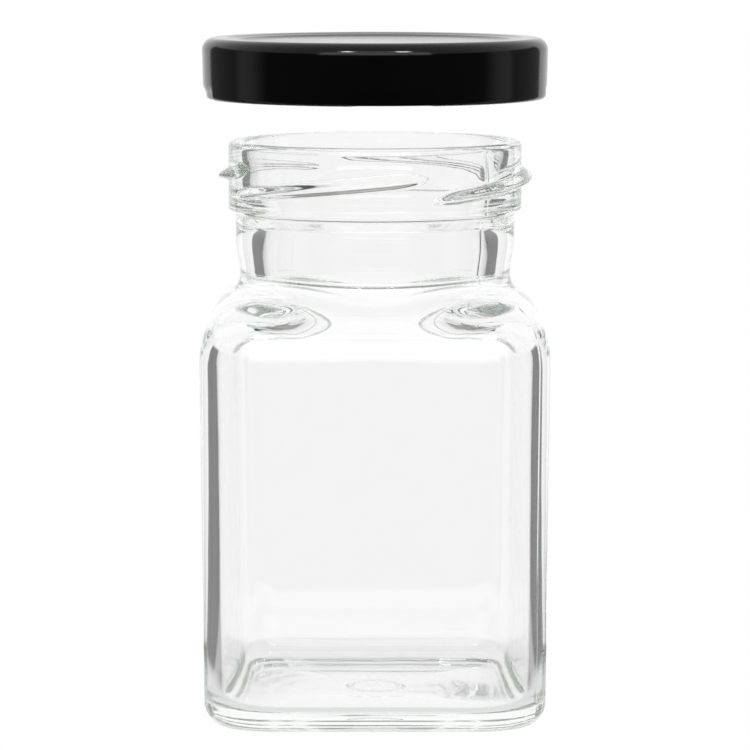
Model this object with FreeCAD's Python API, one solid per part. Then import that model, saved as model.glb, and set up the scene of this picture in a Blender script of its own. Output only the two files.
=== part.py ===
"""Square clear-glass jar with a four-start twist-off finish, and its lacquered tinplate lid.

Millimetres, +Z up. The origin is on the jar's axis in the plane it stands on, and the flat
front of the jar faces -Y. The lid is drawn where it hovers, unscrewed and raised off the jar.
"""
import FreeCAD
import Part
import math
import os

# Jar body
JAR_HEIGHT = 85.0            # base to rim
HALF_WIDTH_BASE = 25.2       # axis to the flat face, at the base
HALF_WIDTH_TOP = 25.75       # the same, extended up to the top of the shoulder
CORNER_RADIUS = 9.6          # vertical corners
SHOULDER_TOP = 63.7          # height of the shoulder's crown
SHOULDER_RADIUS = 9.4        # rounding from wall to crown
HEEL_RADIUS = 3.0            # rounding from wall to base
WALL = 2.3                   # body wall
ROOF = 4.3                   # glass between the inside's top and the shoulder's
FLOOR = 2.7                  # height of the inside floor
FLOOR_RADIUS = 4.0           # inside, wall to floor
INNER_CORNER_RADIUS = 7.9    # inside, rounder than an even wall would give
INNER_SHOULDER_RADIUS = 5.5
PUSH_UP_DEPTH = 0.8          # the base is hollowed so that it stands on a ring
PUSH_UP_HALF_WIDTH = 19.5
PUSH_UP_SLOPE = 2.5          # how far in the hollow's sloping side reaches
PUSH_UP_CORNER = 6.6

# Neck
NECK_FOOT_RADIUS = 20.2
NECK_RADIUS = 20.8
NECK_WIDENS_FROM = 2.5       # above the shoulder's crown, from the foot's radius
NECK_WIDENS_TO = 6.5         # and up to here, where the neck is straight
NECK_FOOT_FILLET = 2.0
BORE_FOOT_RADIUS = 16.4      # the bore is narrow at the neck's thick foot
BORE_WAIST_RADIUS = 17.0
BORE_WAIST_DEPTH = 13.5      # below the rim
BORE_SEAT_RADIUS = 18.9      # and wide and nearly straight inside the finish
BORE_SEAT_DEPTH = 6.5
BORE_RADIUS = 19.3
FLARE_RADIUS = 8.0           # below its foot the bore flares out into the body
FLARE_LINE = 79.2            # radius plus height along the flare's 45 degree end
FLARE_END = 57.0             # its lowest height, well inside the body

# Finish: the threaded end of the neck
FINISH_RADIUS = 21.87
FINISH_HEIGHT = 9.9          # rim to the finish's lower edge
FINISH_STEP = 0.75           # its rounded underside
RIM_OUTER_ROUND = 1.0
RIM_INNER_ROUND = 0.9

# Thread: four short starts, each a ridge that rises anticlockwise seen from above
STARTS = 4
LEAD = 13.6                  # rise in a full turn
THREAD_FIRST_ANGLE = 23.6    # where one ridge begins, from the front, towards +X
THREAD_SPAN = 84.4           # how far each ridge runs round
THREAD_FIRST_DEPTH = 7.9     # rim down to the ridge where it begins
THREAD_TIP_RADIUS = 23.4
THREAD_HALF_BASE = 1.15      # half the ridge's width at the wall
THREAD_HALF_TIP = 0.2        # and at its crest
THREAD_FADE = 11.0           # the ridge grows from nothing over this much of each end
THREAD_END_WIDTH = 0.35      # its width at the very end, as a share of full width
THREAD_END_HEIGHT = 0.04     # how far along its growth each end starts, so that it has a face
THREAD_ROOT = 0.8            # how deep the ridge is set into the wall
THREAD_ROOT_FLARE = 0.16     # how much wider it is down there
THREAD_SECTIONS = 23

# Lid
LID_RADIUS = 25.7
LID_HEIGHT = 9.0
SHEET = 0.25                 # lacquered tinplate
LID_SHOULDER_RADIUS = 1.8
SKIRT_FOOT_RADIUS = 25.55
CURL_RADIUS = 0.75           # the rolled lower edge
LEDGE_DROP = 0.25            # the top steps down twice, to a ledge and to the panel
PANEL_DROP = 0.5
PANEL_RADIUS = 20.0
PANEL_RAMP = 0.6             # width of the slope from panel to ledge
LEDGE_RADIUS = 21.2
CROWN_RADIUS = 22.3

# Lugs: four places where the curl is pressed inwards to catch the thread
LUG_REST_ANGLE = 6.0         # the front lug, towards +X
LUG_HALF_ANGLE = 11.0
LUG_BLEND_ANGLE = 4.0
LUG_TIP_RADIUS = 22.5
LUG_BOTTOM = 0.1
LUG_THICKNESS = 0.85
LUG_NOSE = 0.25              # bevel on the lug's inner edge
LUG_BITE = 0.2               # how far a lug's root is sunk into the curl
LUG_SECTIONS = 13
DENT_DEPTH = 0.45            # forming a lug leaves a dent in the skirt's foot
DENT_HEIGHT = 2.1
DENT_LOW_EDGE = 0.3          # the dent is upright up to here, then slopes out

# Sealing ring, flowed into the lid
RING_FACE = 8.0              # lid's lower edge to the face that meets the rim
RING_INNER_RADIUS = 19.2
RING_OUTER_RADIUS = 23.7
RING_EDGE = 0.35             # bevel on its face
RING_GAP = 0.02              # film between ring and sheet
SEAL_GAP = 0.03              # left between ring and rim when the lid is closed

# Unscrewing: from closed, the lid turns and climbs the thread's lead
CLOSED_LUG_ANGLE = -9.5
TURN_TO_REST = LUG_REST_ANGLE - CLOSED_LUG_ANGLE + 360.0
LID_CLOSED_BOTTOM = JAR_HEIGHT - RING_FACE + SEAL_GAP
LID_BOTTOM = LID_CLOSED_BOTTOM + LEAD * TURN_TO_REST / 360.0

# Mark moulded in the base: a ring and a row of dots
MARK_RADIUS = 4.2
MARK_WIDTH = 0.7
MARK_HEIGHT = 0.25
MARK_DOTS = 3
MARK_DOT_RADIUS = 0.7
MARK_DOT_SPACING = 3.0
MARK_DOT_Y = -8.0

OVERLAP = 0.2                # how far added glass is sunk into what it stands on
SKIN = 0.02                  # the same for sheet, and the margin round a cut
DIAGONAL = math.sqrt(0.5)    # the middle of a quarter arc, as a share of its radius
UP = FreeCAD.Vector(0, 0, 1)
ORIGIN = FreeCAD.Vector(0, 0, 0)


# ---------------------------------------------------------------- shape helpers

def half_width(z):
    """Axis to the outer flat face at a height."""
    return HALF_WIDTH_BASE + (HALF_WIDTH_TOP - HALF_WIDTH_BASE) * z / SHOULDER_TOP


def fillet_edges(shape, radius, wanted):
    """Round the edges that wanted(edge) picks."""
    return shape.makeFillet(radius, [edge for edge in shape.Edges if wanted(edge)])


def lies_at(z, edge):
    """True for an edge that lies flat at height z."""
    box = edge.BoundBox
    return abs(box.ZMin - z) < 1e-3 and abs(box.ZMax - z) < 1e-3


def follows_circle(radius, z_low, z_high, edge):
    """True for an edge at that distance from the axis, between two heights."""
    points = edge.discretize(5)
    on_circle = all(abs(math.hypot(p.x, p.y) - radius) < 0.05 for p in points)
    return on_circle and edge.BoundBox.ZMin > z_low and edge.BoundBox.ZMax < z_high


def frustum(half_low, z_low, half_high, z_high, corner):
    """Square prism with flat, slightly leaning sides and round vertical corners."""
    signs = ((-1, -1), (1, -1), (1, 1), (-1, 1))
    low = [FreeCAD.Vector(x * half_low, y * half_low, z_low) for x, y in signs]
    high = [FreeCAD.Vector(x * half_high, y * half_high, z_high) for x, y in signs]
    outlines = [low[::-1], high]
    for i in range(4):
        j = (i + 1) % 4
        outlines.append([low[i], low[j], high[j], high[i]])
    faces = [Part.Face(Part.makePolygon(points + points[:1])) for points in outlines]
    block = Part.Solid(Part.Shell(faces))
    return fillet_edges(block, corner, lambda edge: edge.BoundBox.ZLength > (z_high - z_low) / 2)


def revolved(edges):
    """Solid of revolution about Z of closed edges in the XZ plane."""
    return Part.Face(Part.Wire(edges)).revolve(ORIGIN, UP, 360)


def line(x1, z1, x2, z2):
    """Straight edge in the XZ plane."""
    return Part.LineSegment(FreeCAD.Vector(x1, 0, z1), FreeCAD.Vector(x2, 0, z2)).toShape()


def lines(points):
    """Straight edges through (x, z) points."""
    return [line(*a, *b) for a, b in zip(points, points[1:])]


def arc(x1, z1, xm, zm, x2, z2):
    """Arc through three points in the XZ plane."""
    ends = [FreeCAD.Vector(x, 0, z) for x, z in ((x1, z1), (xm, zm), (x2, z2))]
    return Part.Arc(*ends).toShape()


def ring_ridge(section, angles):
    """Solid that runs round the axis: section(angle) gives its (radius, z) corners."""
    wires = []
    for angle in angles:
        corners = [FreeCAD.Vector(x, 0, z) for x, z in section(angle)]
        wire = Part.makePolygon(corners + corners[:1])
        wire.rotate(ORIGIN, UP, angle - 90)
        wires.append(wire)
    return Part.makeLoft(wires, True, True)


def spread(first, last, count):
    """Evenly spaced values from first to last."""
    return [first + (last - first) * i / (count - 1) for i in range(count)]


def starts_from(angle):
    """The angle of each of the four equal positions round the axis."""
    return [angle + 360.0 / STARTS * i for i in range(STARTS)]


# ---------------------------------------------------------------- glass jar

def neck_outside():
    """The neck and the plain finish, as a solid of revolution."""
    foot = SHOULDER_TOP - SHOULDER_RADIUS
    step_high = JAR_HEIGHT - FINISH_HEIGHT
    step_low = step_high - FINISH_STEP
    step_mid_r = NECK_RADIUS + (FINISH_RADIUS - NECK_RADIUS) * DIAGONAL
    step_mid_z = step_high - FINISH_STEP * DIAGONAL
    corner_r = FINISH_RADIUS - RIM_OUTER_ROUND
    corner_z = JAR_HEIGHT - RIM_OUTER_ROUND
    bend = RIM_OUTER_ROUND * DIAGONAL
    edges = lines([(corner_r, JAR_HEIGHT), (0, JAR_HEIGHT), (0, foot), (NECK_FOOT_RADIUS, foot),
                   (NECK_FOOT_RADIUS, SHOULDER_TOP + NECK_WIDENS_FROM),
                   (NECK_RADIUS, SHOULDER_TOP + NECK_WIDENS_TO), (NECK_RADIUS, step_low)])
    edges.append(arc(NECK_RADIUS, step_low, step_mid_r, step_mid_z, FINISH_RADIUS, step_high))
    edges.append(line(FINISH_RADIUS, step_high, FINISH_RADIUS, corner_z))
    edges.append(arc(FINISH_RADIUS, corner_z, corner_r + bend, corner_z + bend, corner_r, JAR_HEIGHT))
    return revolved(edges)


def neck_bore():
    """The hole down the neck, eased over the rim's inner edge and flared out below its foot."""
    edge_z = JAR_HEIGHT - RIM_INNER_ROUND
    edge_r = BORE_RADIUS + RIM_INNER_ROUND
    bend = RIM_INNER_ROUND * DIAGONAL
    above = JAR_HEIGHT + OVERLAP
    centre_r = BORE_FOOT_RADIUS + FLARE_RADIUS
    half_turn = FLARE_RADIUS * math.cos(math.pi / 4)
    flare_r = centre_r - half_turn
    flare_z = FLARE_LINE - flare_r
    centre_z = flare_z + half_turn
    mid_r = centre_r - FLARE_RADIUS * math.cos(math.pi / 8)
    mid_z = centre_z - FLARE_RADIUS * math.sin(math.pi / 8)
    edges = lines([(edge_r, JAR_HEIGHT), (edge_r, above), (0, above), (0, FLARE_END),
                   (FLARE_LINE - FLARE_END, FLARE_END), (flare_r, flare_z)])
    edges.append(arc(flare_r, flare_z, mid_r, mid_z, BORE_FOOT_RADIUS, centre_z))
    edges += lines([(BORE_FOOT_RADIUS, centre_z), (BORE_WAIST_RADIUS, JAR_HEIGHT - BORE_WAIST_DEPTH),
                    (BORE_SEAT_RADIUS, JAR_HEIGHT - BORE_SEAT_DEPTH), (BORE_RADIUS, edge_z)])
    edges.append(arc(BORE_RADIUS, edge_z, edge_r - bend, edge_z + bend, edge_r, JAR_HEIGHT))
    return revolved(edges)


def thread_ridge(first):
    """One ridge of the thread, fading out at both ends."""
    root = FINISH_RADIUS - THREAD_ROOT

    def section(angle):
        along = min(angle - first, first + THREAD_SPAN - angle) / THREAD_FADE
        grown = math.sin(min(1.0, max(THREAD_END_HEIGHT, along)) * math.pi / 2)
        z = JAR_HEIGHT - THREAD_FIRST_DEPTH + LEAD * (angle - first) / 360.0
        tip = FINISH_RADIUS + (THREAD_TIP_RADIUS - FINISH_RADIUS) * grown
        base = THREAD_HALF_BASE * (THREAD_END_WIDTH + (1 - THREAD_END_WIDTH) * grown)
        deep = base * (1 + THREAD_ROOT_FLARE)
        crest = THREAD_HALF_TIP * grown
        return [(root, z - deep), (FINISH_RADIUS, z - base), (tip, z - crest),
                (tip, z + crest), (FINISH_RADIUS, z + base), (root, z + deep)]
    return ring_ridge(section, spread(first, first + THREAD_SPAN, THREAD_SECTIONS))


def base_mark():
    """Generic raised mark under the base."""
    low = PUSH_UP_DEPTH - MARK_HEIGHT
    tall = MARK_HEIGHT + OVERLAP
    foot = FreeCAD.Vector(0, 0, low)
    ring = Part.makeCylinder(MARK_RADIUS, tall, foot)
    marks = [ring.cut(Part.makeCylinder(MARK_RADIUS - MARK_WIDTH, tall, foot))]
    for i in range(MARK_DOTS):
        x = (i - (MARK_DOTS - 1) / 2) * MARK_DOT_SPACING
        marks.append(Part.makeCylinder(MARK_DOT_RADIUS, tall, FreeCAD.Vector(x, MARK_DOT_Y, low)))
    return marks


def push_up():
    """The shallow hollow under the base."""
    top_half = PUSH_UP_HALF_WIDTH - PUSH_UP_SLOPE
    return frustum(PUSH_UP_HALF_WIDTH, 0, top_half, PUSH_UP_DEPTH, PUSH_UP_CORNER)


def cavity():
    """Everything inside the jar."""
    top = SHOULDER_TOP - ROOF
    room = frustum(half_width(FLOOR) - WALL, FLOOR, half_width(top) - WALL, top, INNER_CORNER_RADIUS)
    room = fillet_edges(room, FLOOR_RADIUS, lambda edge: lies_at(FLOOR, edge))
    room = fillet_edges(room, INNER_SHOULDER_RADIUS, lambda edge: lies_at(top, edge))
    return room.fuse(neck_bore())


def glass_jar():
    """The jar: one moulded piece of glass."""
    body = frustum(HALF_WIDTH_BASE, 0, HALF_WIDTH_TOP, SHOULDER_TOP, CORNER_RADIUS)
    body = fillet_edges(body, SHOULDER_RADIUS, lambda edge: lies_at(SHOULDER_TOP, edge))
    body = fillet_edges(body, HEEL_RADIUS, lambda edge: lies_at(0, edge))
    body = body.fuse(neck_outside())
    body = fillet_edges(body, NECK_FOOT_FILLET,
                        lambda edge: (edge.BoundBox.DiagonalLength > 0.5
                                      and follows_circle(NECK_FOOT_RADIUS, SHOULDER_TOP - 3,
                                                         SHOULDER_TOP + 0.1, edge)))
    body = body.cut(push_up())
    body = body.fuse(base_mark())
    body = body.fuse([thread_ridge(angle) for angle in starts_from(THREAD_FIRST_ANGLE)])
    return body.cut(cavity())


# ---------------------------------------------------------------- lid

def lid_top(radius_end, drop):
    """(radius, z) points along the lid's stepped top, lowered by drop."""
    top = LID_BOTTOM + LID_HEIGHT - drop
    return [(0, top - PANEL_DROP), (PANEL_RADIUS, top - PANEL_DROP),
            (PANEL_RADIUS + PANEL_RAMP, top - LEDGE_DROP), (LEDGE_RADIUS, top - LEDGE_DROP),
            (CROWN_RADIUS, top), (radius_end, top)]


def lid_sheet():
    """The lid's formed sheet: top, rounded shoulder and skirt."""
    top = LID_BOTTOM + LID_HEIGHT
    bend_r = LID_RADIUS - LID_SHOULDER_RADIUS
    bend_z = top - LID_SHOULDER_RADIUS
    outer = LID_SHOULDER_RADIUS * DIAGONAL
    inner = (LID_SHOULDER_RADIUS - SHEET) * DIAGONAL
    foot_z = LID_BOTTOM + CURL_RADIUS
    above = lid_top(bend_r, 0)
    below = lid_top(bend_r, SHEET)
    edges = lines(above)
    edges.append(arc(bend_r, top, bend_r + outer, bend_z + outer, LID_RADIUS, bend_z))
    edges += lines([(LID_RADIUS, bend_z), (SKIRT_FOOT_RADIUS, foot_z),
                    (SKIRT_FOOT_RADIUS - SHEET, foot_z), (LID_RADIUS - SHEET, bend_z)])
    edges.append(arc(LID_RADIUS - SHEET, bend_z, bend_r + inner, bend_z + inner, bend_r, top - SHEET))
    edges += lines(below[::-1] + above[:1])
    return revolved(edges)


def lid_curl():
    """The rolled edge: a hollow ring that the skirt turns into."""
    centre_r = SKIRT_FOOT_RADIUS - CURL_RADIUS
    centre = FreeCAD.Vector(0, 0, LID_BOTTOM + CURL_RADIUS)
    tube = Part.makeTorus(centre_r, CURL_RADIUS, centre)
    return tube.cut(Part.makeTorus(centre_r, CURL_RADIUS - SHEET, centre))


def lug_depth(angle, centre):
    """How far the curl is pressed in at an angle, from 0 to 1."""
    past = abs(angle - centre) - LUG_HALF_ANGLE
    share = min(1.0, max(0.0, 1 - past / LUG_BLEND_ANGLE))
    return share * share * (3 - 2 * share)


def lug_angles(centre):
    """Where a lug's sections stand."""
    reach = LUG_HALF_ANGLE + LUG_BLEND_ANGLE
    return spread(centre - reach, centre + reach, LUG_SECTIONS)


def lug(centre):
    """One lug, flattened out of the curl, with the thickened skirt behind it."""
    outer = SKIRT_FOOT_RADIUS - SHEET + SKIN
    backing = SKIRT_FOOT_RADIUS - DENT_DEPTH - SHEET
    root = SKIRT_FOOT_RADIUS - 2 * CURL_RADIUS + LUG_BITE
    low = LID_BOTTOM + LUG_BOTTOM
    high = low + LUG_THICKNESS
    dent_top = LID_BOTTOM + DENT_HEIGHT

    def section(angle):
        tip = root - (root - LUG_TIP_RADIUS) * lug_depth(angle, centre)
        return [(outer, low), (tip + LUG_NOSE, low), (tip, low + LUG_NOSE), (tip, high - LUG_NOSE),
                (tip + LUG_NOSE, high), (backing, high), (backing, dent_top), (outer, dent_top)]
    return ring_ridge(section, lug_angles(centre))


def dent(centre):
    """What a lug's forming takes off the outside of the skirt's foot."""
    clear = LID_RADIUS + 1
    below = LID_BOTTOM - 1

    def section(angle):
        pressed = lug_depth(angle, centre)
        face = SKIRT_FOOT_RADIUS + SKIN - (DENT_DEPTH + SKIN) * pressed
        top = LID_BOTTOM + DENT_HEIGHT * (1 + pressed) / 2
        return [(face, below), (face, LID_BOTTOM + DENT_LOW_EDGE),
                (SKIRT_FOOT_RADIUS + 3 * SKIN, top), (clear, top), (clear, below)]
    return ring_ridge(section, lug_angles(centre))


def lid_shell():
    """The tinplate shell with its curl and lugs."""
    centres = starts_from(LUG_REST_ANGLE)
    shell = lid_sheet().fuse(lid_curl())
    shell = shell.fuse([lug(centre) for centre in centres])
    return shell.cut([dent(centre) for centre in centres])


def sealing_ring():
    """The soft ring that closes on the rim."""
    face = LID_BOTTOM + RING_FACE
    under_sheet = lid_top(RING_OUTER_RADIUS, SHEET + RING_GAP)[1:]
    corner = (RING_INNER_RADIUS, under_sheet[0][1])
    outline = [corner] + under_sheet + [
        (RING_OUTER_RADIUS, face + RING_EDGE), (RING_OUTER_RADIUS - RING_EDGE, face),
        (RING_INNER_RADIUS + RING_EDGE, face), (RING_INNER_RADIUS, face + RING_EDGE / 2), corner]
    return revolved(lines(outline))


def main():
    """Build the three pieces, print their facts and write them."""
    os.makedirs("parts", exist_ok=True)
    nodes = {"glass_jar": glass_jar(), "lid_shell": lid_shell(), "sealing_ring": sealing_ring()}
    for name, shape in nodes.items():
        box = shape.BoundBox
        print(name, "valid", shape.isValid(), "solids", len(shape.Solids),
              "volume %.1f" % shape.Volume,
              "z %.2f to %.2f" % (box.ZMin, box.ZMax), "width %.2f" % box.XLength)
        shape.exportStep("parts/%s.step" % name)
    print("lid bottom %.3f turn %.1f rise %.4f"
          % (LID_BOTTOM, TURN_TO_REST, LID_BOTTOM - LID_CLOSED_BOTTOM))


main()
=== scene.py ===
"""Looks of a square glass jar with a four-start twist-off neck and a black lacquered tin lid.

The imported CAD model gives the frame. The glass, the lid and its sealing ring are each redrawn as
one closed mesh of the same size, swept round the jar's axis, fine enough for glass and gloss.
Working sizes are in millimetres, like the design, and turn to metres when a mesh is made.
"""
import math

import bpy
import numpy as np
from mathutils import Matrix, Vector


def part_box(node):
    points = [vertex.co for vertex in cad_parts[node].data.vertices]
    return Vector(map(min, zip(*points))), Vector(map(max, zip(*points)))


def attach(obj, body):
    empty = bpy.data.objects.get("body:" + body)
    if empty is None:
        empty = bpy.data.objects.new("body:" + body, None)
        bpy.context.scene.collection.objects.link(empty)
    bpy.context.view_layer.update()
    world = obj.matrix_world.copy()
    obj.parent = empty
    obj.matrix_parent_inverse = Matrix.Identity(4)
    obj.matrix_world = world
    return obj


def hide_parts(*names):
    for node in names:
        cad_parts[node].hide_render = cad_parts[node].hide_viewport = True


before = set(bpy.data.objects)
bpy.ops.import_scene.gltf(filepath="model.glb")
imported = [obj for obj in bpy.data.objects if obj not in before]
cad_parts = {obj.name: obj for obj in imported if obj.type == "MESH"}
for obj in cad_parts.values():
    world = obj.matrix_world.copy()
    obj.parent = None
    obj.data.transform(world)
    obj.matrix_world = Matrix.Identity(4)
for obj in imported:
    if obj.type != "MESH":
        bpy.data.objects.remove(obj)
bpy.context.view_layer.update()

MM = 0.001
JAR_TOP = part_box("glass_jar")[1].z / MM
LID_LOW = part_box("lid_shell")[0].z / MM
LID_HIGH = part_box("lid_shell")[1].z / MM
LID_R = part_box("lid_shell")[1].x / MM
SEAL_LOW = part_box("sealing_ring")[0].z / MM

# Jar body
HALF_BASE = 25.2             # axis to the flat side at the base
HALF_SLOPE = 0.00863         # growth of that distance per millimetre of height
CORNER = 9.6
SHOULDER_TOP = 63.7
SHOULDER_ROUND = 9.4
HEEL = 3.0
WALL = 2.3
ROOF = 4.3                   # glass above the shoulder's inside
FLOOR = 2.7
FLOOR_ROUND = 2.6
FLOOR_ROUND_TAPER = 0.6      # how much of that rounding the inside's corners lose on the floor
IN_CORNER = 7.9
IN_SHOULDER = 5.5
PUSH_UP = 0.7                # depth of the hollow under the base
PUSH_UP_HALF = 21.5
PUSH_UP_CORNER = 6.6
PUSH_UP_SLOPE = 14.0         # how far in the hollow's sloping side reaches
EASE = 2.5                   # above 2, round corners run into the flats without a visible line
EASE_REACH = 0.2929 / (1 - 0.5 ** (1 / EASE))   # makes an eased corner as full as a round one

# Generic mark under the base: a ring and three dots
MARK_HEIGHT = 0.25
MARK_REACH = 10.0            # all of it lies this near the axis
MARK_RING_R = 3.85
MARK_RING_HALF = 0.5
MARK_RING_EDGE = 0.25
MARK_DOT_R = 0.85
MARK_DOT_EDGE = 0.3
MARK_DOT_SPACING = 3.0
MARK_DOT_Y = -8.0

# Neck and finish
NECK_FOOT_R = 20.2
NECK_R = 20.8
NECK_WIDENS_FROM = SHOULDER_TOP + 1.5
NECK_WIDENS_OVER = 5.0
NECK_FILLET = 2.0
BORE_FOOT_R = 16.4
BORE_WAIST_R = 17.0
BORE_WAIST_OVER = 8.0        # height in which the bore's foot widens to its waist
BORE_SEAT_R = 18.9
BORE_R = 19.3
BORE_STEP_LOW = JAR_TOP - 14.5
BORE_STEP_HIGH = JAR_TOP - 6.0
BORE_RIM_OVER = 5.0          # height in which the bore widens above its step
BORE_FILLET = 8.0
FINISH_R = 21.87
FINISH_LOW = JAR_TOP - 9.9
FINISH_STEP = 0.75
RIM_OUT = 1.0
RIM_IN = 0.9

# Thread
STARTS = 4
LEAD = 13.6
THREAD_ANGLE = 23.6          # where one ridge begins, from the front towards +X
THREAD_SPAN = 84.4
THREAD_Z = JAR_TOP - 7.9
THREAD_TIP = 23.4
THREAD_LOWER = 0.65          # ridge below its crest, which bears the lid's lugs and is steeper
THREAD_UPPER = 1.35
THREAD_FADE = 11.0
THREAD_END_WIDTH = 0.35      # width of a ridge's very end, as a share of full width
THREAD_POWER = 1.25          # above 1, the crest is sharper

# Marks of the mould: seams up two opposite corners, and the joint between neck ring and body
SEAM_ANGLES = (48.0, 228.0)
SEAM_HEIGHT = 0.04
SEAM_WIDTH = 0.2
JOINT_Z = JAR_TOP - 12.2
JOINT_HEIGHT = 0.07
JOINT_WIDTH = 0.13

# Unevenness of the inside, where glass met no mould: height, length and pattern of each
WALL_WAVE = (0.06, 11.0, 5)
NECK_WAVE = (0.06, 9.0, 3)
FLOOR_WAVE = (0.12, 8.0, 9)

# Lid
SHEET = 0.25
SHOULDER_R = 1.8
SKIRT_FOOT = 25.55
CURL = 0.75
CURL_TURN = 245.0            # how far the rolled edge goes round
CURL_CLEAR = 0.15            # from the curl to the skirt's inside
PANEL_DROP = 0.5
PANEL_RAMP = 0.6
LEDGE_DROP = 0.25
PANEL_R = 20.0
LEDGE_R = 21.2
CROWN_R = 22.3
PRESS_ROUND = 0.35           # rounding of the steps pressed in the top
LUG_ANGLE = 6.0
LUG_HALF = 11.0
LUG_BLEND = 4.0
LUG_TIP = 22.5
LUG_THICK = 0.85
LUG_LOW = 0.1
DENT = 0.45
DENT_HEIGHT = 2.1
SEAL_IN = 19.2
SEAL_OUT = 23.7
SEAL_ROUND = 0.3
SEAL_FILM = 0.02             # between ring and sheet

# Mesh making
SEARCH_STEPS = 40            # halvings, when a surface is searched for
FAN_REACH = 40.0             # length of the rays that search for shoulder and neck
OUT_FAN = (8.0, 48.0)        # radius and height that the outside's rays start from
OUT_FAN_TOP = SHOULDER_TOP + 3.3
IN_FAN = (6.0, 44.0)
IN_FAN_TOP = SHOULDER_TOP

# Materials
BLACK = (0.0012, 0.0012, 0.0013)
PALE = (0.80, 0.79, 0.76)
SEAL_DARK = (0.72, 0.71, 0.68, 1)
SEAL_LIGHT = (0.83, 0.82, 0.80, 1)
GLASS_TINT = (0.87, 0.93, 0.89, 1)
GLASS_DENSITY = 6.0
GLASS_IOR = 1.52
WHITE = (1, 1, 1, 1)

# Studio: levels are relative to the white background; bearings are degrees from straight behind
FLOOR_SIZE = 4.0             # metres
FLOOR_SIDES = 96
FRONT_LIGHT = 0.06
FLAG_STOPS = ((38.0, 1.0), (40.0, 0.19), (75.0, 0.19), (81.0, 0.5), (90.0, 0.5), (104.0, 0.08))
FLAGS_FROM = 0.040           # metres from the axis, on the floor, where the flags begin to show
FLAGS_FULL = 0.055
TABLE = 0.91                 # the floor at the jar's foot, seen through the glass
TABLE_TURNED = 0.76          # and by light that turned inside the glass
FLAG_TOP = 14.0              # the flags end this far above the horizon
FLAG_TOP_FADE = 6.0
CEILING_FRONT = 0.55
CEILING_BACK = 1.0
CEILING_RANGE = (-0.8, 0.6)  # from front to back, where the ceiling's level changes
BACKDROP = 1.05              # seen through glass, which takes some light off it
THROUGH_BOTH_WALLS = 2.5     # more surfaces passed than this
# Each light: bearing from the camera's side, half width, lower and upper edge, strength, softness
LIGHTS = ((0.0, 37.0, 13.0, 26.0, 2.0, 0.14), (0.0, 20.0, 37.0, 41.0, 3.0, 0.02),
          (-21.0, 3.0, 36.0, 42.0, 36.0, 0.02), (21.0, 4.0, 36.0, 42.0, 36.0, 0.02))
LIGHT_SIDE_SOFT = 1.5        # degrees

# Camera: a long lens, slightly above the jar and tilted down a little
CAMERA_PLACE = (0, -0.560, 0.1202)
CAMERA_TILT = 7.18
CAMERA_LENS = 180.4
CAMERA_SENSOR = 36.0

# Light turns many times inside glass, and each turn counts as a glossy bounce
GLASS_BOUNCES = 64
ALL_BOUNCES = 96


# ------------------------------------------------------------------ shape helpers

def smooth(t):
    """Smooth step from 0 to 1."""
    t = np.clip(t, 0.0, 1.0)
    return t * t * (3 - 2 * t)


def eased(a, b):
    """Reach past a corner's centre, rounder than a circle where it meets the flats."""
    return (np.maximum(a, 0) ** EASE + np.maximum(b, 0) ** EASE) ** (1 / EASE)


def square_distance(x, y, half, corner):
    """Signed reach in plan to a square with eased corners."""
    corner = corner * EASE_REACH
    qx = np.abs(x) - (half - corner)
    qy = np.abs(y) - (half - corner)
    return eased(qx, qy) + np.minimum(np.maximum(qx, qy), 0) - corner


def surface_between(inside_at, near, far):
    """Distance, between near and far, at which inside_at(distance) turns false."""
    for _ in range(SEARCH_STEPS):
        mid = (near + far) / 2
        inside = inside_at(mid)
        near = np.where(inside, mid, near)
        far = np.where(inside, far, mid)
    return near


def outline(theta, half, corner):
    """Distance from the axis to an eased square, at each angle."""
    ct, st = np.cos(theta), np.sin(theta)
    near = np.ones_like(theta) * half * 0.9
    return surface_between(lambda r: square_distance(r * ct, r * st, half, corner) < 0,
                           near, near * 1.6)


def block_distance(x, y, z, half, corner, top, rounding):
    """Signed reach to an eased square prism with an eased top edge."""
    rounding = rounding * EASE_REACH
    a = square_distance(x, y, half, corner) + rounding
    b = z - top + rounding
    return np.minimum(np.maximum(a, b), 0) + eased(a, b) - rounding


def round_union(a, b, radius):
    """Union of two distances, with a fillet of that radius."""
    corner = np.hypot(np.maximum(radius - a, 0), np.maximum(radius - b, 0))
    return np.maximum(radius, np.minimum(a, b)) - corner


def fan_hits(field, theta, start, angles):
    """Where rays that fan up from a ring inside leave a shape: (r, z) rows, one for each angle."""
    r0, z0 = start
    ct, st = np.cos(theta), np.sin(theta)
    r_dir = np.cos(angles)[:, None]
    z_dir = np.sin(angles)[:, None]

    def inside_at(reach):
        r = r0 + reach * r_dir
        return field(r * ct, r * st, z0 + reach * z_dir) < 0
    near = np.zeros((len(angles), len(theta)))
    hit = surface_between(inside_at, near, np.full_like(near, FAN_REACH))
    return zip(r0 + hit * r_dir, z0 + hit * z_dir)


def ripple(x, y, z, height, length, pattern):
    """Slow waviness, up to about the given height either way, and the same in every run."""
    total = np.zeros_like(x)
    for i in range(4):
        a = pattern * 1.7 + i * 2.399
        k = (1 + 0.45 * i) / length
        along = x * math.cos(a) + y * math.sin(a)
        total += np.sin(k * along + z * k * math.sin(3 * a) + 5 * a)
    return height * (total / 4)


def arc_points(centre_r, centre_z, radius, start, end, count):
    """Points on an arc, by angle in degrees from outward."""
    turn = np.radians(np.linspace(start, end, count))
    return [(centre_r + radius * math.cos(t), centre_z + radius * math.sin(t)) for t in turn]


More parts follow.
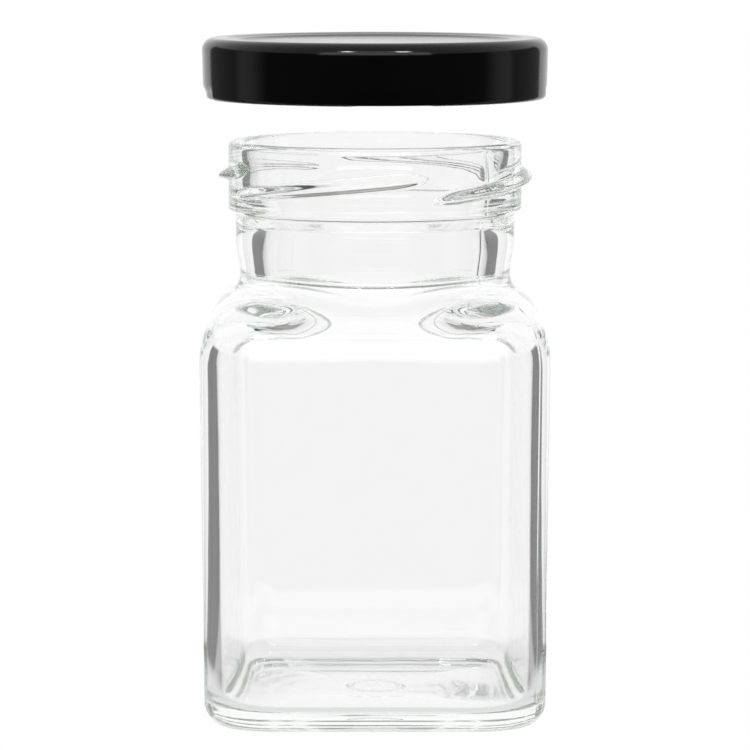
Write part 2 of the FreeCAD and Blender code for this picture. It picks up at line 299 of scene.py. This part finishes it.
def rounded_path(corners, radius, steps=4):
    """A path of (r, z) corners with each inner corner eased."""
    path = [corners[0]]
    for before, here, after in zip(corners, corners[1:], corners[2:]):
        before, here, after = np.array(before), np.array(here), np.array(after)
        back = min(radius, np.linalg.norm(before - here) * 0.45)
        ahead = min(radius, np.linalg.norm(after - here) * 0.45)
        a = here + (before - here) / np.linalg.norm(before - here) * back
        b = here + (after - here) / np.linalg.norm(after - here) * ahead
        for t in np.linspace(0, 1, steps + 1):
            path.append(tuple(a * (1 - t) ** 2 + 2 * here * t * (1 - t) + b * t * t))
    path.append(corners[-1])
    return path


# ------------------------------------------------------------------ meshes

def jar_columns(flat_count, corner_count, seam_half=1.0, seam_count=11):
    """Meridian angles in degrees: closest at the jar's round corners and at each seam."""
    inner = HALF_BASE - CORNER
    edge = math.degrees(math.atan2(inner, HALF_BASE))
    quarter = list(np.linspace(-edge, edge, flat_count + 1))[:-1]
    turn = np.radians(np.linspace(0, 90, corner_count + 1))[:-1]
    corner_x = inner + CORNER * np.cos(turn)
    corner_y = inner + CORNER * np.sin(turn)
    quarter += list(np.degrees(np.arctan2(corner_y, corner_x)))
    angles = [a + 90 * i for i in range(4) for a in quarter]
    for seam in SEAM_ANGLES:
        angles = [a for a in angles if abs((a - seam + 180) % 360 - 180) > seam_half * 1.2]
        angles += list(seam + np.linspace(-seam_half, seam_half, seam_count))
    return np.sort(np.array(angles) % 360.0)


def even_columns(count):
    """Evenly spaced meridian angles in degrees."""
    return np.arange(count) * 360.0 / count


def swept_mesh(name, angle, rows_r, rows_z, loop=False, slots=None):
    """Closed mesh from rows of (r, z): poles at both ends, or a tube if loop is true."""
    theta = np.radians(angle - 90.0)
    rows, cols = rows_r.shape
    first, last = (0, rows) if loop else (1, rows - 1)
    r = rows_r[first:last]
    z = rows_z[first:last]
    points = np.stack([r * np.cos(theta), r * np.sin(theta), z], axis=-1).reshape(-1, 3) * MM
    verts = [tuple(p) for p in points]
    n = last - first
    faces = []
    marks = []
    for i in range(n if loop else n - 1):
        j = (i + 1) % n
        for k in range(cols):
            m = (k + 1) % cols
            faces.append((i * cols + k, i * cols + m, j * cols + m, j * cols + k))
            marks.append(i + first)
    if not loop:
        verts.append((0, 0, rows_z[0, 0] * MM))
        verts.append((0, 0, rows_z[-1, 0] * MM))
        low, high = len(verts) - 2, len(verts) - 1
        for k in range(cols):
            m = (k + 1) % cols
            faces.append((low, m, k))
            marks.append(0)
            faces.append((high, (n - 1) * cols + k, (n - 1) * cols + m))
            marks.append(rows - 2)
    mesh = bpy.data.meshes.new(name)
    mesh.from_pydata(verts, [], faces)
    if slots is not None:
        mesh.polygons.foreach_set("material_index", [slots[i] for i in marks])
    mesh.polygons.foreach_set("use_smooth", [True] * len(faces))
    mesh.validate()
    mesh.update()
    piece = bpy.data.objects.new(name, mesh)
    bpy.context.scene.collection.objects.link(piece)
    return piece


# ------------------------------------------------------------------ glass jar

def half_at(z):
    """Axis to the outer flat side at a height."""
    return HALF_BASE + HALF_SLOPE * z


def neck_radius(z):
    """Outside of the neck below the finish."""
    return NECK_FOOT_R + (NECK_R - NECK_FOOT_R) * smooth((z - NECK_WIDENS_FROM) / NECK_WIDENS_OVER)


def outer_field(x, y, z):
    """Shoulder and neck outside, as a signed distance."""
    block = block_distance(x, y, z, half_at(z), CORNER, SHOULDER_TOP, SHOULDER_ROUND)
    return round_union(block, np.hypot(x, y) - neck_radius(z), NECK_FILLET)


def bore_radius(z):
    """Inside of the neck: narrow at its foot, wide inside the finish."""
    waist = smooth((z - SHOULDER_TOP) / BORE_WAIST_OVER)
    low = BORE_FOOT_R + (BORE_WAIST_R - BORE_FOOT_R) * waist
    high = BORE_SEAT_R + (BORE_R - BORE_SEAT_R) * smooth((z - BORE_STEP_HIGH) / BORE_RIM_OVER)
    step = smooth((z - BORE_STEP_LOW) / (BORE_STEP_HIGH - BORE_STEP_LOW))
    return low + (high - low) * step


def inner_field(x, y, z):
    """Shoulder and neck inside, as a signed distance."""
    top = SHOULDER_TOP - ROOF
    block = block_distance(x, y, z, half_at(z) - WALL, IN_CORNER, top, IN_SHOULDER)
    return round_union(block, np.hypot(x, y) - BORE_FOOT_R, BORE_FILLET)


def thread_ridges(angle, z):
    """How far the thread stands out of the finish, by angle in degrees and height."""
    out = np.zeros(np.broadcast(angle, z).shape)
    for i in range(STARTS):
        along = (angle - THREAD_ANGLE - 360.0 / STARTS * i) % 360.0
        ends = np.minimum(along, THREAD_SPAN - along)
        grown = np.sin(np.clip(ends / THREAD_FADE, 0, 1) * math.pi / 2)
        ridge_z = THREAD_Z + LEAD * along / 360.0
        half = np.where(z < ridge_z, THREAD_LOWER, THREAD_UPPER)
        half = half * (THREAD_END_WIDTH + (1 - THREAD_END_WIDTH) * grown)
        t = np.clip(np.abs(z - ridge_z) / half, 0, 1)
        height = (THREAD_TIP - FINISH_R) * grown * np.cos(t * math.pi / 2) ** THREAD_POWER
        out = np.maximum(out, np.where(along <= THREAD_SPAN, height, 0.0))
    return out


def seam_ridge(angle, r):
    """The two mould seams, as a small outward ridge."""
    out = 0.0
    for centre in SEAM_ANGLES:
        off = (angle - centre + 180) % 360 - 180
        out = out + SEAM_HEIGHT * np.exp(-(np.radians(off) * r / SEAM_WIDTH) ** 2)
    return out


def base_height(x, y):
    """Height of the glass's underside: flat ring, hollow inside it, and the generic mark."""
    inset = -square_distance(x, y, PUSH_UP_HALF, PUSH_UP_CORNER)
    off_ring = np.abs(np.hypot(x, y) - MARK_RING_R)
    mark = smooth((MARK_RING_HALF - off_ring) / MARK_RING_EDGE)
    for i in (-1, 0, 1):
        off_dot = np.hypot(x - MARK_DOT_SPACING * i, y - MARK_DOT_Y)
        mark = np.maximum(mark, smooth((MARK_DOT_R - off_dot) / MARK_DOT_EDGE))
    return PUSH_UP * smooth(inset / PUSH_UP_SLOPE) - MARK_HEIGHT * mark


class JarRows:
    """Rows of the jar's closed surface: from under its base, up the outside, down the inside."""

    def __init__(self, angle):
        self.angle = angle
        self.theta = np.radians(angle - 90.0)
        self.ct, self.st = np.cos(self.theta), np.sin(self.theta)
        self.r, self.z = [], []
        self.add_underside()
        self.add_body_outside()
        self.add_neck_outside()
        self.add_rim()
        self.add_neck_inside()
        self.add_body_inside()
        self.add_floor()

    def add(self, r, z):
        """One row, from a value for all columns or one for each."""
        shape = self.theta.shape
        self.r.append(np.broadcast_to(r, shape).astype(float))
        self.z.append(np.broadcast_to(z, shape).astype(float))

    def add_moulded(self, r, z):
        """A row on the outside, where the mould's seams show."""
        self.add(r + seam_ridge(self.angle, r), z)

    def wave(self, r, z, wave):
        """Unevenness of one kind along a row."""
        return ripple(r * self.ct, r * self.st, z, *wave)

    def add_underside(self):
        """From the axis to where the heel begins, closest at the mark."""
        edge = outline(self.theta, HALF_BASE - HEEL, CORNER - HEEL)
        radii = list(np.linspace(0, MARK_REACH, 36))
        radii += [MARK_REACH + (edge - MARK_REACH) * s for s in np.linspace(0, 1, 15)[1:]]
        for r in radii:
            self.add(r, base_height(r * self.ct, r * self.st))

    def add_body_outside(self):
        """Heel, sides and shoulder, to the neck's foot."""
        for phi in np.radians(np.linspace(0, 90, 10)[1:]):
            z = HEEL * (1 - math.cos(phi))
            inset = HEEL * (1 - math.sin(phi))
            self.add_moulded(outline(self.theta, half_at(z) - inset, CORNER - inset), z)
        fan_r, fan_z = OUT_FAN
        for z in np.linspace(HEEL, fan_z, 10)[1:]:
            self.add_moulded(outline(self.theta, half_at(z), CORNER), z)
        top = math.atan2(OUT_FAN_TOP - fan_z, NECK_FOOT_R - fan_r)
        for r, z in fan_hits(outer_field, self.theta, OUT_FAN, np.linspace(0, top, 52)[1:]):
            self.add_moulded(r, z)

    def add_neck_outside(self):
        """Neck, with close rows at the mould's joint, and the threaded finish."""
        heights = list(np.linspace(OUT_FAN_TOP, JOINT_Z - 0.5, 10)[1:])
        heights += list(JOINT_Z + np.linspace(-0.4, 0.4, 9))
        heights += list(np.linspace(JOINT_Z + 0.4, FINISH_LOW - FINISH_STEP, 4)[1:])
        for z in heights:
            joint = JOINT_HEIGHT * math.exp(-((z - JOINT_Z) / JOINT_WIDTH) ** 2)
            self.add_moulded(neck_radius(z) + joint, z)
        for phi in np.radians(np.linspace(0, 90, 7)[1:]):
            self.add_moulded(NECK_R + (FINISH_R - NECK_R) * math.sin(phi),
                             FINISH_LOW - FINISH_STEP * math.cos(phi))
        seams = seam_ridge(self.angle, FINISH_R)
        for z in np.linspace(FINISH_LOW, JAR_TOP - RIM_OUT, 50)[1:]:
            self.add(FINISH_R + thread_ridges(self.angle, z) + seams, z)

    def add_rim(self):
        """Over the rim, from its outer rounding to its inner one."""
        for phi in np.radians(np.linspace(0, 90, 9)[1:]):
            self.add(FINISH_R - RIM_OUT * (1 - math.cos(phi)),
                     JAR_TOP - RIM_OUT * (1 - math.sin(phi)))
        for phi in np.radians(np.linspace(90, 0, 9)):
            self.add(BORE_R + RIM_IN * (1 - math.cos(phi)),
                     JAR_TOP - RIM_IN * (1 - math.sin(phi)))

    def add_neck_inside(self):
        """Down the bore to the shoulder's height."""
        for z in np.linspace(JAR_TOP - RIM_IN, SHOULDER_TOP, 26)[1:-1]:
            r = bore_radius(z)
            self.add(r + self.wave(r, z, NECK_WAVE), z)

    def add_body_inside(self):
        """Flare under the neck, shoulder and sides, and the rounding to the floor."""
        fan_r, fan_z = IN_FAN
        top = math.atan2(IN_FAN_TOP - fan_z, BORE_FOOT_R - fan_r)
        for r, z in fan_hits(inner_field, self.theta, IN_FAN, np.linspace(top, 0, 54)):
            self.add(r + self.wave(r, z, WALL_WAVE), z)
        heel = FLOOR_ROUND * EASE_REACH
        for z in np.linspace(fan_z, FLOOR + heel, 14)[1:]:
            r = outline(self.theta, half_at(z) - WALL, IN_CORNER)
            self.add(r + self.wave(r, z, WALL_WAVE), z)
        for phi in np.radians(np.linspace(90, 0, 14)[1:]):
            inset = heel * (1 - math.sin(phi) ** (2 / EASE))
            z = FLOOR + heel * (1 - math.cos(phi) ** (2 / EASE))
            corner = IN_CORNER - FLOOR_ROUND_TAPER * inset
            r = outline(self.theta, half_at(z) - WALL - inset, corner)
            self.add(r + self.wave(r, z, WALL_WAVE) * math.sin(phi),
                     z + self.wave(r, 0.0, FLOOR_WAVE) * math.cos(phi))

    def add_floor(self):
        """From the last row in to the axis."""
        edge = self.r[-1]
        for s in np.linspace(1, 0, 24)[1:]:
            self.add(edge * s, FLOOR + self.wave(edge * s, 0.0, FLOOR_WAVE))


def make_jar():
    """The jar as one closed skin of glass."""
    rows = JarRows(jar_columns(26, 40))
    return swept_mesh("jar_glass", rows.angle, np.array(rows.r), np.array(rows.z))


# ------------------------------------------------------------------ lid

def lug_depth(angle):
    """How far the curl is pressed in at an angle, from 0 to 1."""
    off = (angle - LUG_ANGLE + 45.0) % 90.0 - 45.0
    return smooth(1 - (np.abs(off) - LUG_HALF) / LUG_BLEND)


def top_steps(top):
    """(r, z) of the steps pressed in the lid's top, from the panel out to the crown."""
    return [(PANEL_R, top - PANEL_DROP), (PANEL_R + PANEL_RAMP, top - LEDGE_DROP),
            (LEDGE_R, top - LEDGE_DROP), (CROWN_R, top)]


def lid_path():
    """The lid's section: over the top, round the curl and back up inside.

    Returns its points, and how many of them are on the outside.
    """
    top = LID_HIGH - LID_LOW
    bend_r, bend_z = LID_R - SHOULDER_R, top - SHOULDER_R
    upper = [(0, top - PANEL_DROP), (PANEL_R / 2, top - PANEL_DROP)]
    upper += top_steps(top) + [(bend_r, top)]
    path = rounded_path(upper, PRESS_ROUND)
    path += arc_points(bend_r, bend_z, SHOULDER_R, 90, 0, 14)[1:]
    for t in np.linspace(0, 1, 13)[1:]:
        path.append((LID_R + (SKIRT_FOOT - LID_R) * t, bend_z * (1 - t) + CURL * t))
    path += arc_points(SKIRT_FOOT - CURL, CURL, CURL, 0, -CURL_TURN, 30)[1:]
    outside = len(path)
    for t in np.linspace(0, 1, 13):
        z = (CURL * 2 + CURL_CLEAR) * (1 - t) + bend_z * t
        path.append((SKIRT_FOOT - SHEET + (LID_R - SKIRT_FOOT) * t, z))
    path += arc_points(bend_r, bend_z, SHOULDER_R - SHEET, 0, 90, 10)[1:]
    lower = [(r, z - SHEET) for r, z in reversed(upper)]
    path += rounded_path(lower, PRESS_ROUND)[1:]
    return path, outside


def make_lid():
    """The lid's shell: black outside, pale lacquer inside, with lugs pressed out of the curl."""
    path, outside = lid_path()
    angle = even_columns(360)
    press = lug_depth(angle)
    centre_r, centre_z = SKIRT_FOOT - CURL, CURL
    reach = (centre_r - LUG_TIP) / CURL
    squash = LUG_THICK / (2 * CURL)
    lug_z = LUG_LOW + LUG_THICK / 2
    rows_r = np.zeros((len(path), len(angle)))
    rows_z = np.zeros_like(rows_r)
    for i, (r, z) in enumerate(path):
        new_r = np.full_like(angle, r)
        new_z = np.full_like(angle, z)
        u, v = r - centre_r, z - centre_z
        if math.hypot(u, v) < CURL * 1.01:
            if u < 0:
                new_r = r + press * (u * reach - u)
            else:
                new_r = r - press * DENT * (u / CURL)
            new_z = z + press * (lug_z + v * squash - z) * (1 if u < 0 else 1 - u / CURL)
        elif z < DENT_HEIGHT and r > centre_r:
            share = 1 - (z - CURL) / (DENT_HEIGHT - CURL)
            new_r = r - press * DENT * smooth(share)
        rows_r[i] = new_r
        rows_z[i] = new_z + LID_LOW
    slots = [0 if i < outside else 1 for i in range(len(path))]
    return swept_mesh("lid_tin", angle, rows_r, rows_z, slots=slots)


def make_seal():
    """The sealing ring, with its edges softened."""
    top = LID_HIGH - LID_LOW - SHEET - SEAL_FILM
    face = SEAL_LOW - LID_LOW
    start = ((SEAL_IN + PANEL_R) / 2, top - PANEL_DROP)
    corners = [start] + top_steps(top) + [(SEAL_OUT, top), (SEAL_OUT, face), (SEAL_IN, face)]
    corners += [(SEAL_IN, top - PANEL_DROP), start]
    path = rounded_path(corners, SEAL_ROUND, 5)[:-1]
    angle = even_columns(240)
    rows_r = np.array([[r] * len(angle) for r, _ in path])
    rows_z = np.array([[z + LID_LOW] * len(angle) for _, z in path])
    return swept_mesh("seal_compound_ring", angle, rows_r[::-1], rows_z[::-1], loop=True)


# ------------------------------------------------------------------ nodes

def grey(level):
    """A neutral colour."""
    return (level, level, level, 1)


def set_or_link(links, slot, value):
    """Give a node's input a value, or link a socket to it."""
    if isinstance(value, (int, float, tuple)):
        slot.default_value = value
    else:
        links.new(value, slot)


def mix_node(nodes, links, factor, first, second):
    """A blend from first to second; each is a colour or a socket."""
    node = nodes.new("ShaderNodeMix")
    node.data_type = "RGBA"
    links.new(factor, node.inputs["Factor"])
    set_or_link(links, node.inputs["A"], first)
    set_or_link(links, node.inputs["B"], second)
    return node.outputs["Result"]


def map_node(nodes, links, value, spread_from, spread_to=(0.0, 1.0), kind="LINEAR"):
    """A value brought from one range to another, and held at its ends."""
    node = nodes.new("ShaderNodeMapRange")
    node.interpolation_type = kind
    node.inputs["From Min"].default_value = spread_from[0]
    node.inputs["From Max"].default_value = spread_from[1]
    node.inputs["To Min"].default_value = spread_to[0]
    node.inputs["To Max"].default_value = spread_to[1]
    links.new(value, node.inputs["Value"])
    return node.outputs["Result"]


def math_node(nodes, links, operation, first, second=None):
    """One arithmetic node; inputs are sockets or numbers."""
    node = nodes.new("ShaderNodeMath")
    node.operation = operation
    set_or_link(links, node.inputs[0], first)
    if second is not None:
        set_or_link(links, node.inputs[1], second)
    return node.outputs["Value"]


def noise_node(nodes, links, scale, detail=2.0):
    """3-D noise in the object's own metres."""
    place = nodes.new("ShaderNodeTexCoord")
    noise = nodes.new("ShaderNodeTexNoise")
    noise.inputs["Scale"].default_value = scale
    noise.inputs["Detail"].default_value = detail
    links.new(place.outputs["Object"], noise.inputs["Vector"])
    return noise.outputs["Fac"]


def noise_range(nodes, links, noise, low, high):
    """Noise spread over low to high."""
    return map_node(nodes, links, noise, (0.3, 0.7), (low, high))


def window(nodes, links, value, low, high, soft):
    """1 where value lies between low and high, easing to 0 outside."""
    rise = map_node(nodes, links, value, (low - soft, low), kind="SMOOTHSTEP")
    fall = map_node(nodes, links, value, (high, high + soft), (1.0, 0.0), "SMOOTHSTEP")
    return math_node(nodes, links, "MULTIPLY", rise, fall)


def ray_fact(nodes, name):
    """One fact about the ray that is traced."""
    return nodes.new("ShaderNodeLightPath").outputs[name]


# ------------------------------------------------------------------ materials

def new_material(name):
    """A node material and its tools."""
    material = bpy.data.materials.new(name)
    material.use_nodes = True
    nodes = material.node_tree.nodes
    links = material.node_tree.links
    return material, nodes, links, nodes["Principled BSDF"]


def add_bump(nodes, links, shader, height, strength, distance):
    """Fine surface relief."""
    bump = nodes.new("ShaderNodeBump")
    bump.inputs["Strength"].default_value = strength
    bump.inputs["Distance"].default_value = distance
    links.new(height, bump.inputs["Height"])
    links.new(bump.outputs["Normal"], shader.inputs["Normal"])


def glass_material():
    """Clear flint glass, faintly grey-green where it is thick, with a slightly uneven surface."""
    material, nodes, links, shader = new_material("clear_flint_glass")
    shader.inputs["Transmission Weight"].default_value = 1.0
    shader.inputs["IOR"].default_value = GLASS_IOR
    shader.inputs["Base Color"].default_value = WHITE
    fine = noise_node(nodes, links, 60.0)
    links.new(noise_range(nodes, links, fine, 0.0, 0.02), shader.inputs["Roughness"])
    add_bump(nodes, links, shader, noise_node(nodes, links, 110.0, 1.0), 0.08, 0.0003)
    absorb = nodes.new("ShaderNodeVolumeAbsorption")
    absorb.inputs["Color"].default_value = GLASS_TINT
    absorb.inputs["Density"].default_value = GLASS_DENSITY
    links.new(absorb.outputs["Volume"], nodes["Material Output"].inputs["Volume"])
    return material


def lacquer_material(name, colour, roughness, ior):
    """Glossy stoving lacquer on tinplate, with faint orange peel and colour drift."""
    material, nodes, links, shader = new_material(name)
    peel = noise_node(nodes, links, 900.0)
    drift = noise_node(nodes, links, 90.0, 4.0)
    dark = (*[c * 0.85 for c in colour], 1)
    light = (*[min(1.0, c * 1.15) for c in colour], 1)
    links.new(mix_node(nodes, links, drift, dark, light), shader.inputs["Base Color"])
    links.new(noise_range(nodes, links, drift, roughness * 0.8, roughness * 1.3),
              shader.inputs["Roughness"])
    shader.inputs["IOR"].default_value = ior
    add_bump(nodes, links, shader, peel, 0.05, 0.0001)
    return material


def seal_material():
    """Off-white plastisol, slightly mottled and satin."""
    material, nodes, links, shader = new_material("plastisol")
    mottle = noise_node(nodes, links, 250.0, 5.0)
    links.new(mix_node(nodes, links, mottle, SEAL_DARK, SEAL_LIGHT), shader.inputs["Base Color"])
    links.new(noise_range(nodes, links, mottle, 0.3, 0.45), shader.inputs["Roughness"])
    shader.inputs["Subsurface Weight"].default_value = 0.1
    shader.inputs["Subsurface Radius"].default_value = (0.001, 0.001, 0.001)
    add_bump(nodes, links, shader, mottle, 0.1, 0.0001)
    return material


# ------------------------------------------------------------------ stage

def ring_light(nodes, links, vector):
    """Brightness round the jar near the table: white behind, dark flags at the sides, dim in front.

    The flags and the dim front show only in reflections, on the glass or inside it. What is seen
    straight through both walls of the jar is white from every side. Returns the colour, the
    bearing from straight behind and the vector's node.
    """
    split = nodes.new("ShaderNodeSeparateXYZ")
    links.new(vector, split.inputs["Vector"])
    bearing = math_node(nodes, links, "ARCTAN2", split.outputs["X"], split.outputs["Y"])
    turn = math_node(nodes, links, "ABSOLUTE", bearing)
    ramp = nodes.new("ShaderNodeValToRGB")
    stops = ramp.color_ramp.elements
    stops[0].position = 0.0
    stops[0].color = WHITE
    stops[1].position = 1.0
    stops[1].color = grey(FRONT_LIGHT)
    for degrees, level in FLAG_STOPS:
        stops.new(degrees / 180.0).color = grey(level)
    links.new(math_node(nodes, links, "MULTIPLY", turn, 1 / math.pi), ramp.inputs["Fac"])
    passed = ray_fact(nodes, "Transmission Depth")
    through = math_node(nodes, links, "GREATER_THAN", passed, THROUGH_BOTH_WALLS)
    unturned = math_node(nodes, links, "LESS_THAN", ray_fact(nodes, "Glossy Depth"), 0.5)
    clear = math_node(nodes, links, "MULTIPLY", through, unturned)
    colour = mix_node(nodes, links, clear, ramp.outputs["Color"], grey(BACKDROP))
    return colour, bearing, split


def white_to_camera(nodes, links, colour):
    """The surround reads plain white where it is looked at directly."""
    return mix_node(nodes, links, ray_fact(nodes, "Is Camera Ray"), colour, WHITE)


def make_floor():
    """Large white floor, lit so evenly that it throws no shadow."""
    mesh = bpy.data.meshes.new("floor")
    turns = [2 * math.pi * i / FLOOR_SIDES for i in range(FLOOR_SIDES)]
    verts = [(0, 0, 0)]
    verts += [(FLOOR_SIZE * math.cos(t), FLOOR_SIZE * math.sin(t), 0) for t in turns]
    faces = [(0, 1 + i, 1 + (i + 1) % FLOOR_SIDES) for i in range(FLOOR_SIDES)]
    mesh.from_pydata(verts, [], faces)
    floor = bpy.data.objects.new("floor", mesh)
    bpy.context.scene.collection.objects.link(floor)
    material, nodes, links, shader = new_material("white_floor")
    nodes.remove(shader)
    place = nodes.new("ShaderNodeTexCoord").outputs["Object"]
    length = nodes.new("ShaderNodeVectorMath")
    length.operation = "LENGTH"
    links.new(place, length.inputs[0])
    flags = map_node(nodes, links, length.outputs["Value"], (FLAGS_FROM, FLAGS_FULL),
                     kind="SMOOTHSTEP")
    turned = math_node(nodes, links, "GREATER_THAN", ray_fact(nodes, "Glossy Depth"), 0.5)
    table = mix_node(nodes, links, turned, grey(TABLE), grey(TABLE_TURNED))
    ring = ring_light(nodes, links, place)[0]
    colour = white_to_camera(nodes, links, mix_node(nodes, links, flags, table, ring))
    glow = nodes.new("ShaderNodeEmission")
    links.new(colour, glow.inputs["Color"])
    links.new(glow.outputs["Emission"], nodes["Material Output"].inputs["Surface"])
    mesh.materials.append(material)
    return floor


def light_patch(nodes, links, bearing, height, light):
    """Brightness of one rectangle of light in the sky over the camera's side."""
    azimuth, half, bottom, top, strength, soft = light
    turn = math_node(nodes, links, "SUBTRACT", bearing, math.radians(180.0 - azimuth))
    angle = math_node(nodes, links, "ARCCOSINE", math_node(nodes, links, "COSINE", turn))
    across = window(nodes, links, angle, -1.0, math.radians(half), math.radians(LIGHT_SIDE_SOFT))
    low, high = math.sin(math.radians(bottom)), math.sin(math.radians(top))
    up = window(nodes, links, height, low, high, soft)
    return math_node(nodes, links, "MULTIPLY", math_node(nodes, links, "MULTIPLY", across, up),
                     strength)


def make_world():
    """Studio round the jar: white behind, flags at the sides, lights above the front."""
    world = bpy.data.worlds.new("studio")
    bpy.context.scene.world = world
    world.use_nodes = True
    nodes, links = world.node_tree.nodes, world.node_tree.links
    place = nodes.new("ShaderNodeTexCoord").outputs["Generated"]
    low, bearing, split = ring_light(nodes, links, place)
    height = split.outputs["Z"]
    flag_edge = [math.sin(math.radians(FLAG_TOP + fade)) for fade in (0.0, FLAG_TOP_FADE)]
    above = map_node(nodes, links, height, flag_edge, kind="SMOOTHSTEP")
    ceiling = map_node(nodes, links, split.outputs["Y"], CEILING_RANGE,
                       (CEILING_FRONT, CEILING_BACK))
    lights = light_patch(nodes, links, bearing, height, LIGHTS[0])
    for light in LIGHTS[1:]:
        patch = light_patch(nodes, links, bearing, height, light)
        lights = math_node(nodes, links, "ADD", lights, patch)
    total = nodes.new("ShaderNodeVectorMath")
    total.operation = "ADD"
    links.new(mix_node(nodes, links, above, low, ceiling), total.inputs[0])
    links.new(lights, total.inputs[1])
    colour = white_to_camera(nodes, links, total.outputs["Vector"])
    links.new(colour, nodes["Background"].inputs["Color"])


def make_camera():
    """The camera, at the photo's angle."""
    camera_data = bpy.data.cameras.new("camera")
    camera_data.lens = CAMERA_LENS
    camera_data.sensor_width = CAMERA_SENSOR
    camera = bpy.data.objects.new("camera", camera_data)
    camera.location = CAMERA_PLACE
    camera.rotation_euler = (math.radians(90 - CAMERA_TILT), 0, 0)
    bpy.context.scene.collection.objects.link(camera)
    bpy.context.scene.camera = camera


# ------------------------------------------------------------------ build

jar = make_jar()
jar.data.materials.append(glass_material())
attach(jar, "jar")
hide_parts("glass_jar")

lid = make_lid()
lid.data.materials.append(lacquer_material("black_lacquer", BLACK, 0.1, 1.36))
lid.data.materials.append(lacquer_material("inside_lacquer", PALE, 0.3, 1.45))
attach(lid, "lid")
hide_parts("lid_shell")

seal = make_seal()
seal.data.materials.append(seal_material())
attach(seal, "seal")
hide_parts("sealing_ring")

make_floor()
make_world()
make_camera()

scene = bpy.context.scene
scene.view_settings.view_transform = "Standard"
scene.cycles.transmission_bounces = GLASS_BOUNCES
scene.cycles.glossy_bounces = GLASS_BOUNCES
scene.cycles.max_bounces = ALL_BOUNCES
